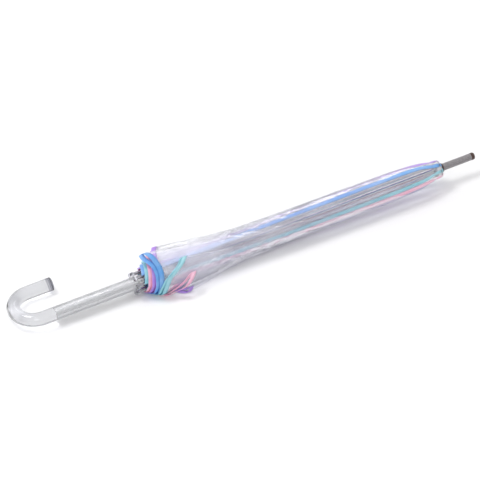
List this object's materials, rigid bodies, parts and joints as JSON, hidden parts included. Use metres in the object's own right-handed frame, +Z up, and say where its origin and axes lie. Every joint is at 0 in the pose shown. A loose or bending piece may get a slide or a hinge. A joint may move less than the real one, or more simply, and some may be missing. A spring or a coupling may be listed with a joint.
{
  "type": "stick umbrella",
  "caption": "Child's clear-canopy stick umbrella, folded unfastened and lying on its side, with an acrylic crook handle and a ribbed frame that opens into a dome.",
  "frame": {"origin": "middle of the bounding box's underside, on the floor that the folded umbrella lies on", "axes": "+X from the crook handle towards the ferrule, +Y to the side that the crook's free arm lies on, +Z up"},
  "size_m": [0.677, 0.091, 0.0478],
  "materials": {
    "clear_film": "glossy, clear",
    "clear_acrylic": "polished, clear",
    "clear_plastic": "glossy, clear",
    "white_plastic": "satin",
    "dark_brown": "satin",
    "grey_enamel": "grey enamel",
    "plated_steel": "bright plated",
    "spring_steel": "satin"
  },
  "bodies": {
    "frame": {"shaft_tube": "plated_steel", "handle_crook": "clear_acrylic", "handle_liner": "plated_steel", "crown_notch": "white_plastic", "crown_wire": "spring_steel", "canopy_washer": "white_plastic", "ferrule_base_ring": "dark_brown", "ferrule": "grey_enamel", "ferrule_cap": "dark_brown", "runner_stop_pin": "plated_steel"},
    "runner": {"runner": "white_plastic", "runner_wire": "spring_steel"},
    "rib_1": {"rib_1": "plated_steel", "rib_tip_1": "clear_plastic", "rib_rivet_1": "plated_steel"},
    "stretcher_1": {"stretcher_1": "plated_steel"},
    "gore_1": {"gore_1": "clear_film"},
    "rib_2": {"rib_2": "plated_steel", "rib_tip_2": "clear_plastic", "rib_rivet_2": "plated_steel"},
    "stretcher_2": {"stretcher_2": "plated_steel"},
    "gore_2": {"gore_2": "clear_film"},
    "rib_3": {"rib_3": "plated_steel", "rib_tip_3": "clear_plastic", "rib_rivet_3": "plated_steel"},
    "stretcher_3": {"stretcher_3": "plated_steel"},
    "gore_3": {"gore_3": "clear_film"},
    "rib_4": {"rib_4": "plated_steel", "rib_tip_4": "clear_plastic", "rib_rivet_4": "plated_steel"},
    "stretcher_4": {"stretcher_4": "plated_steel"},
    "gore_4": {"gore_4": "clear_film"},
    "rib_5": {"rib_5": "plated_steel", "rib_tip_5": "clear_plastic", "rib_rivet_5": "plated_steel"},
    "stretcher_5": {"stretcher_5": "plated_steel"},
    "gore_5": {"gore_5": "clear_film"},
    "rib_6": {"rib_6": "plated_steel", "rib_tip_6": "clear_plastic", "rib_rivet_6": "plated_steel"},
    "stretcher_6": {"stretcher_6": "plated_steel"},
    "gore_6": {"gore_6": "clear_film"},
    "rib_7": {"rib_7": "plated_steel", "rib_tip_7": "clear_plastic", "rib_rivet_7": "plated_steel"},
    "stretcher_7": {"stretcher_7": "plated_steel"},
    "gore_7": {"gore_7": "clear_film"},
    "rib_8": {"rib_8": "plated_steel", "rib_tip_8": "clear_plastic", "rib_rivet_8": "plated_steel"},
    "stretcher_8": {"stretcher_8": "plated_steel"},
    "gore_8": {"gore_8": "clear_film"},
    "top_catch": {"top_catch": "spring_steel"},
    "bottom_catch": {"bottom_catch": "spring_steel"}
  },
  "joints": [
    {"name": "runner_slide", "type": "slide", "parent": "frame", "child": "runner", "axis": [0.9998, 0, 0.0216], "range_m": [0, 0.15208]},
    {"name": "rib_1_hinge", "type": "hinge", "parent": "frame", "child": "rib_1", "pos_m": [0.2803, -0.0219, 0.03483], "axis": [-0.0067, 0.9511, 0.3089], "range_deg": [0, 50.02]},
    {"name": "stretcher_1_hinge", "type": "hinge", "parent": "rib_1", "child": "stretcher_1", "pos_m": [0.08022, -0.02376, 0.03623], "axis": [-0.0067, 0.9511, 0.3089], "range_deg": [-100.04, 0]},
    {"name": "gore_1_unfold", "type": "hinge", "parent": "rib_1", "child": "gore_1", "pos_m": [0.28653, -0.02031, 0.03007], "axis": [0.6269, -0.2367, 0.7422], "range_deg": [0, 45.02]},
    {"name": "rib_2_hinge", "type": "hinge", "parent": "frame", "child": "rib_2", "pos_m": [0.28038, -0.02656, 0.03086], "axis": [-0.0192, 0.454, 0.8908], "range_deg": [0, 50.02]},
    {"name": "stretcher_2_hinge", "type": "hinge", "parent": "rib_2", "child": "stretcher_2", "pos_m": [0.08037, -0.03191, 0.02927], "axis": [-0.0192, 0.454, 0.8908], "range_deg": [-100.04, 0]},
    {"name": "gore_2_unfold", "type": "hinge", "parent": "rib_2", "child": "gore_2", "pos_m": [0.28656, -0.02198, 0.02865], "axis": [0.6351, -0.6826, 0.3616], "range_deg": [0, 45.02]},
    {"name": "rib_3_hinge", "type": "hinge", "parent": "frame", "child": "rib_3", "pos_m": [0.28051, -0.02704, 0.02475], "axis": [-0.0205, -0.309, 0.9508], "range_deg": [0, 50.02]},
    {"name": "stretcher_3_hinge", "type": "hinge", "parent": "rib_3", "child": "stretcher_3", "pos_m": [0.0806, -0.03275, 0.01859], "axis": [-0.0205, -0.309, 0.9508], "range_deg": [-100.04, 0]},
    {"name": "gore_3_unfold", "type": "hinge", "parent": "rib_3", "child": "gore_3", "pos_m": [0.2866, -0.02215, 0.02647], "axis": [0.6477, -0.7286, -0.2228], "range_deg": [0, 45.02]},
    {"name": "rib_4_hinge", "type": "hinge", "parent": "frame", "child": "rib_4", "pos_m": [0.28061, -0.02306, 0.0201], "axis": [-0.0098, -0.891, 0.4539], "range_deg": [0, 50.02]},
    {"name": "stretcher_4_hinge", "type": "hinge", "parent": "rib_4", "child": "stretcher_4", "pos_m": [0.08077, -0.02579, 0.01044], "axis": [-0.0098, -0.891, 0.4539], "range_deg": [-100.04, 0]},
    {"name": "gore_4_unfold", "type": "hinge", "parent": "rib_4", "child": "gore_4", "pos_m": [0.28664, -0.02073, 0.02481], "axis": [0.6573, -0.3478, -0.6685], "range_deg": [0, 45.02]},
    {"name": "rib_5_hinge", "type": "hinge", "parent": "frame", "child": "rib_5", "pos_m": [0.28062, -0.01696, 0.01962], "axis": [0.0067, -0.9511, -0.3089], "range_deg": [0, 50.02]},
    {"name": "stretcher_5_hinge", "type": "hinge", "parent": "rib_5", "child": "stretcher_5", "pos_m": [0.08079, -0.01511, 0.0096], "axis": [0.0067, -0.9511, -0.3089], "range_deg": [-100.04, 0]},
    {"name": "gore_5_unfold", "type": "hinge", "parent": "rib_5", "child": "gore_5", "pos_m": [0.28664, -0.01855, 0.02464], "axis": [0.6583, 0.2367, -0.7145], "range_deg": [0, 45.02]},
    {"name": "rib_6_hinge", "type": "hinge", "parent": "frame", "child": "rib_6", "pos_m": [0.28054, -0.0123, 0.02359], "axis": [0.0192, -0.454, -0.8908], "range_deg": [0, 50.02]},
    {"name": "stretcher_6_hinge", "type": "hinge", "parent": "rib_6", "child": "stretcher_6", "pos_m": [0.08064, -0.00696, 0.01656], "axis": [0.0192, -0.454, -0.8908], "range_deg": [-100.04, 0]},
    {"name": "gore_6_unfold", "type": "hinge", "parent": "rib_6", "child": "gore_6", "pos_m": [0.28661, -0.01689, 0.02606], "axis": [0.6501, 0.6826, -0.3338], "range_deg": [0, 45.02]},
    {"name": "rib_7_hinge", "type": "hinge", "parent": "frame", "child": "rib_7", "pos_m": [0.28041, -0.01182, 0.0297], "axis": [0.0205, 0.309, -0.9508], "range_deg": [0, 50.02]},
    {"name": "stretcher_7_hinge", "type": "hinge", "parent": "rib_7", "child": "stretcher_7", "pos_m": [0.08041, -0.00612, 0.02724], "axis": [0.0205, 0.309, -0.9508], "range_deg": [-100.04, 0]},
    {"name": "gore_7_unfold", "type": "hinge", "parent": "rib_7", "child": "gore_7", "pos_m": [0.28657, -0.01671, 0.02824], "axis": [0.6375, 0.7286, 0.2505], "range_deg": [0, 45.02]},
    {"name": "rib_8_hinge", "type": "hinge", "parent": "frame", "child": "rib_8", "pos_m": [0.28031, -0.0158, 0.03435], "axis": [0.0098, 0.891, -0.4539], "range_deg": [0, 50.02]},
    {"name": "stretcher_8_hinge", "type": "hinge", "parent": "rib_8", "child": "stretcher_8", "pos_m": [0.08024, -0.01308, 0.03538], "axis": [0.0098, 0.891, -0.4539], "range_deg": [-100.04, 0]},
    {"name": "gore_8_unfold", "type": "hinge", "parent": "rib_8", "child": "gore_8", "pos_m": [0.28653, -0.01813, 0.0299], "axis": [0.6279, 0.3478, 0.6962], "range_deg": [0, 45.02]},
    {"name": "top_catch_press", "type": "slide", "parent": "frame", "child": "top_catch", "axis": [0.0164, 0.6494, -0.7602], "range_m": [0, 0.0024], "stiffness_N_per_m": 200, "springref_m": -0.001},
    {"name": "bottom_catch_press", "type": "slide", "parent": "frame", "child": "bottom_catch", "axis": [0.0164, 0.6494, -0.7602], "range_m": [0, 0.0024], "stiffness_N_per_m": 200, "springref_m": -0.001}
  ],
  "couplings": [
    {"joint": "rib_1_hinge", "follows": "runner_slide", "rad_per_m": 5.7383},
    {"joint": "stretcher_1_hinge", "follows": "runner_slide", "rad_per_m": -11.477},
    {"joint": "gore_1_unfold", "follows": "runner_slide", "rad_per_m": 5.1645},
    {"joint": "rib_2_hinge", "follows": "runner_slide", "rad_per_m": 5.7383},
    {"joint": "stretcher_2_hinge", "follows": "runner_slide", "rad_per_m": -11.477},
    {"joint": "gore_2_unfold", "follows": "runner_slide", "rad_per_m": 5.1645},
    {"joint": "rib_3_hinge", "follows": "runner_slide", "rad_per_m": 5.7383},
    {"joint": "stretcher_3_hinge", "follows": "runner_slide", "rad_per_m": -11.477},
    {"joint": "gore_3_unfold", "follows": "runner_slide", "rad_per_m": 5.1645},
    {"joint": "rib_4_hinge", "follows": "runner_slide", "rad_per_m": 5.7383},
    {"joint": "stretcher_4_hinge", "follows": "runner_slide", "rad_per_m": -11.477},
    {"joint": "gore_4_unfold", "follows": "runner_slide", "rad_per_m": 5.1645},
    {"joint": "rib_5_hinge", "follows": "runner_slide", "rad_per_m": 5.7383},
    {"joint": "stretcher_5_hinge", "follows": "runner_slide", "rad_per_m": -11.477},
    {"joint": "gore_5_unfold", "follows": "runner_slide", "rad_per_m": 5.1645},
    {"joint": "rib_6_hinge", "follows": "runner_slide", "rad_per_m": 5.7383},
    {"joint": "stretcher_6_hinge", "follows": "runner_slide", "rad_per_m": -11.477},
    {"joint": "gore_6_unfold", "follows": "runner_slide", "rad_per_m": 5.1645},
    {"joint": "rib_7_hinge", "follows": "runner_slide", "rad_per_m": 5.7383},
    {"joint": "stretcher_7_hinge", "follows": "runner_slide", "rad_per_m": -11.477},
    {"joint": "gore_7_unfold", "follows": "runner_slide", "rad_per_m": 5.1645},
    {"joint": "rib_8_hinge", "follows": "runner_slide", "rad_per_m": 5.7383},
    {"joint": "stretcher_8_hinge", "follows": "runner_slide", "rad_per_m": -11.477},
    {"joint": "gore_8_unfold", "follows": "runner_slide", "rad_per_m": 5.1645}
  ]
}
